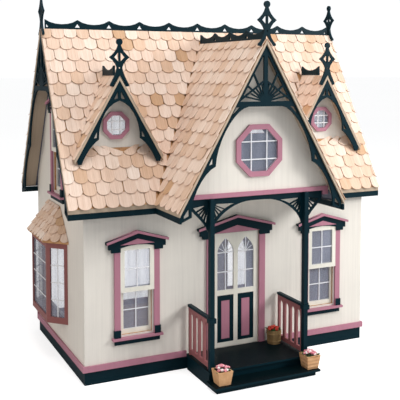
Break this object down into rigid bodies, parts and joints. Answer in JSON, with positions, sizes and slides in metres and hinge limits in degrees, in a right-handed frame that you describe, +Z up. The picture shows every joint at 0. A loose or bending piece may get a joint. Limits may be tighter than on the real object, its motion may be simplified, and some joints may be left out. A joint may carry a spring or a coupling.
{
  "type": "wooden dollhouse",
  "caption": "Cottage dollhouse of plywood with steep shingled gables, fretwork trim, a porch, a bay window, an opening door, sliding sashes and an open back.",
  "frame": {"origin": "middle of the whole object's footprint, on the surface it stands on", "axes": "+X to the right of someone facing the front door, +Y from the front to the open back, +Z up"},
  "size_m": [0.5594, 0.4096, 0.5911],
  "materials": {
    "cream_paint": "satin paint on plywood, faint upright grain",
    "green_paint": "dark teal green satin paint on cut plywood",
    "mauve_paint": "dusty mauve satin paint on cut plywood",
    "rust_paint": "reddish brown satin paint on plywood",
    "bare_wood": "bare orange-brown plywood",
    "shingle_wood": "unpainted thin wood shingles, matte",
    "terracotta": "light tan moulded pot with earth",
    "twig": "rough upright twigs"
  },
  "bodies": {
    "house": {"foundation": "green_paint", "water_table": "mauve_paint", "ground_floor": "bare_wood", "upper_floor": "bare_wood", "front_wall": "cream_paint", "ground_partition": "mauve_paint", "left_wall": "cream_paint", "right_wall": "cream_paint", "front_roof": "bare_wood", "rear_roof": "shingle_wood", "gable_roof_left": "bare_wood", "gable_roof_right": "bare_wood", "dormer_roof_left": "shingle_wood", "dormer_roof_right": "shingle_wood", "front_shingles": "shingle_wood", "gable_shingles_left": "shingle_wood", "gable_shingles_right": "shingle_wood", "eave_trim_left": "green_paint", "eave_trim_right": "green_paint", "eave_trim_rear": "green_paint", "gable_wall": "cream_paint", "porch_ceiling": "mauve_paint", "dormer_wall_left": "cream_paint", "dormer_wall_right": "cream_paint", "gable_octagon_window": "mauve_paint", "dormer_octagon_left": "mauve_paint", "dormer_octagon_right": "mauve_paint", "gable_fretwork": "green_paint", "side_gable_trim_left": "green_paint", "side_gable_trim_right": "green_paint", "dormer_fretwork_left": "green_paint", "dormer_finial_left": "green_paint", "dormer_fretwork_right": "green_paint", "dormer_finial_right": "green_paint", "gable_finial": "green_paint", "ridge_cresting": "green_paint", "gable_cresting": "green_paint", "dormer_cresting_left": "green_paint", "dormer_cresting_right": "green_paint", "front_window_left_trim": "mauve_paint", "front_window_right_trim": "mauve_paint", "side_window_left_trim": "mauve_paint", "side_window_right_trim": "mauve_paint", "door_trim": "mauve_paint", "bay_window": "rust_paint", "bay_roof": "shingle_wood", "porch_deck": "green_paint", "porch_step": "green_paint", "porch_arch": "green_paint", "porch_post_left": "green_paint", "porch_post_right": "green_paint", "porch_railing_left": "rust_paint", "porch_railing_right": "rust_paint"},
    "front_door": {"front_door": "cream_paint"},
    "front_window_left_sash": {"front_window_left_sash": "cream_paint"},
    "front_window_right_sash": {"front_window_right_sash": "cream_paint"},
    "side_window_left_sash": {"side_window_left_sash": "cream_paint"},
    "planter_left": {"planter_left": "terracotta"},
    "planter_right": {"planter_right": "terracotta"},
    "flower_basket": {"flower_basket": "twig"}
  },
  "joints": [
    {"name": "front_door_hinge", "type": "hinge", "parent": "house", "child": "front_door", "pos_m": [-0.0331, -0.0882, 0.117], "axis": [0, 0, 1], "range_deg": [0, 100]},
    {"name": "front_window_left_sash_slide", "type": "slide", "parent": "house", "child": "front_window_left_sash", "axis": [0, 0, 1], "range_m": [0, 0.058]},
    {"name": "front_window_right_sash_slide", "type": "slide", "parent": "house", "child": "front_window_right_sash", "axis": [0, 0, 1], "range_m": [0, 0.058]},
    {"name": "side_window_left_sash_slide", "type": "slide", "parent": "house", "child": "side_window_left_sash", "axis": [0, 0, 1], "range_m": [0, 0.058]},
    {"name": "planter_left_lift", "type": "slide", "parent": "house", "child": "planter_left", "axis": [0, 0, 1], "range_m": [0, 0.06]},
    {"name": "planter_right_lift", "type": "slide", "parent": "house", "child": "planter_right", "axis": [0, 0, 1], "range_m": [0, 0.06]},
    {"name": "flower_basket_lift", "type": "slide", "parent": "house", "child": "flower_basket", "axis": [0, 0, 1], "range_m": [0, 0.06]}
  ]
}
